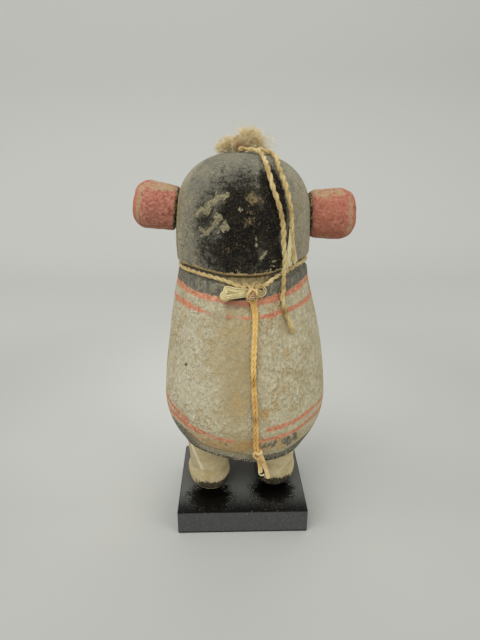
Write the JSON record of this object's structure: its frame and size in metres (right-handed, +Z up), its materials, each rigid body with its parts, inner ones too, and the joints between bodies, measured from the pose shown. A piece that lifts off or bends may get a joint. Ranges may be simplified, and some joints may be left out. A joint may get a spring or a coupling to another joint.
{
  "type": "kachina doll",
  "caption": "Carved and painted cottonwood doll with a domed mask and round ears, a wrapped blanket and hanging cotton cords, standing on a low black plinth.",
  "frame": {"origin": "middle of the plinth's underside", "axes": "+Z up; the doll faces +Y, so its tied back looks along -Y; +X is on the right for someone who looks at its back"},
  "size_m": [0.0775, 0.0635, 0.1459],
  "materials": {
    "plinth": "black satin lacquer with fine dust",
    "painted_wood": "cottonwood under pitted, worn cream mineral paint, with a black mask and red stripes",
    "ear_paint": "cottonwood under worn, dusty red paint",
    "down": "old golden down feather",
    "cotton_cord": "twisted undyed cotton",
    "golden_cord": "twisted golden cotton"
  },
  "bodies": {
    "root": {"plinth": "plinth", "figure": "painted_wood", "ear_left": "ear_paint", "ear_right": "ear_paint", "crown_tuft": "down", "crown_cord_long": "cotton_cord", "crown_cord_short": "cotton_cord", "neck_cord": "cotton_cord", "hanging_cord_left": "golden_cord", "hanging_cord_right": "golden_cord"}
  },
  "joints": []
}
